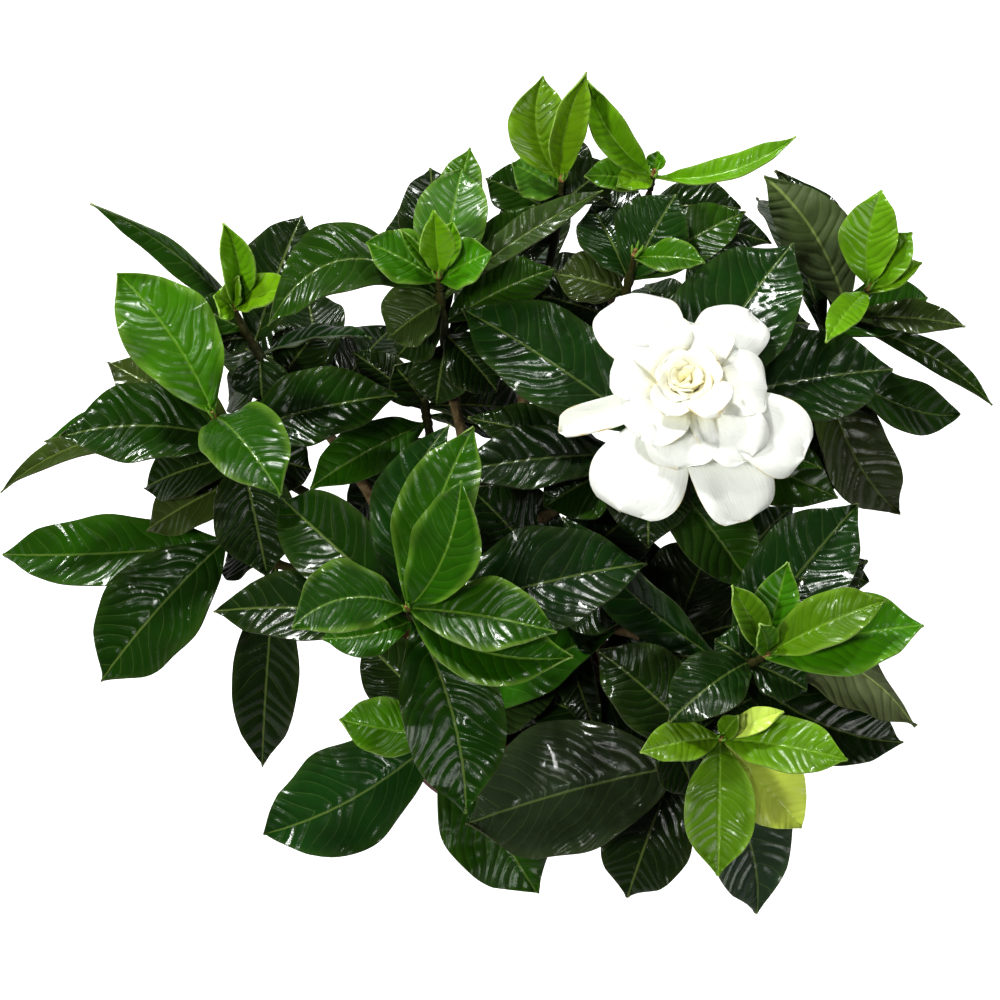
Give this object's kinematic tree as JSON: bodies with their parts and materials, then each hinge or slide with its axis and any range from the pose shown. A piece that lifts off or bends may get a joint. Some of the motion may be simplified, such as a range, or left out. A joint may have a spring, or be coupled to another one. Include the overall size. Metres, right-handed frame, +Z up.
{
  "type": "potted flowering shrub",
  "caption": "Potted gardenia with broad glossy leaves on woody stems, light young shoots and one open double white bloom, in a small round plastic pot.",
  "frame": {"origin": "middle of the pot's underside, on the surface it stands on", "axes": "+Z up along the pot's axis, -Y towards the side that the picture is taken from, +X to the right in that picture"},
  "size_m": [0.4117, 0.3412, 0.2786],
  "materials": {
    "pot": "dark red moulded plastic with a soft sheen",
    "soil": "moist peat, matte",
    "wood": "thin grey-brown bark, rough",
    "dark_leaf": "grown leaf, glossy, with sunken veins",
    "light_leaf": "young leaf, satin to glossy",
    "petal": "soft white petal, cream towards the heart",
    "calyx": "green calyx, satin"
  },
  "bodies": {
    "root": {"pot": "pot", "soil": "soil", "woody_stem_left": "wood", "woody_stem_front": "wood", "woody_stem_right": "wood", "woody_stem_rear": "wood", "bloom_petals": "petal", "bloom_calyx": "calyx", "young_leaves_south_west": "light_leaf", "young_leaves_north_west": "light_leaf", "young_leaves_west": "light_leaf", "young_leaves_north": "light_leaf", "young_leaves_north_east": "light_leaf", "young_leaves_middle": "light_leaf", "young_leaves_young_west": "light_leaf", "young_leaves_south_east": "light_leaf", "young_leaves_east": "light_leaf", "young_leaves_south": "light_leaf", "young_leaves_low_south_west": "light_leaf", "leafy_stem_under_bloom": "dark_leaf", "leafy_stem_south_west": "dark_leaf", "leafy_stem_north_west": "dark_leaf", "leafy_stem_west": "dark_leaf", "leafy_stem_north": "dark_leaf", "leafy_stem_north_east": "dark_leaf", "leafy_stem_middle": "dark_leaf", "leafy_stem_young_west": "dark_leaf", "leafy_stem_south_east": "dark_leaf", "leafy_stem_east": "dark_leaf", "leafy_stem_south": "dark_leaf", "leafy_stem_low_south": "dark_leaf", "leafy_stem_low_west": "dark_leaf", "leafy_stem_low_south_west": "dark_leaf", "leafy_stem_inner": "dark_leaf", "leafy_stem_centre": "dark_leaf", "leafy_stem_centre_east": "dark_leaf", "leafy_stem_back_left": "dark_leaf", "leafy_stem_back_middle": "dark_leaf", "leafy_stem_back_right": "dark_leaf", "leafy_stem_low_east": "dark_leaf"}
  },
  "joints": []
}
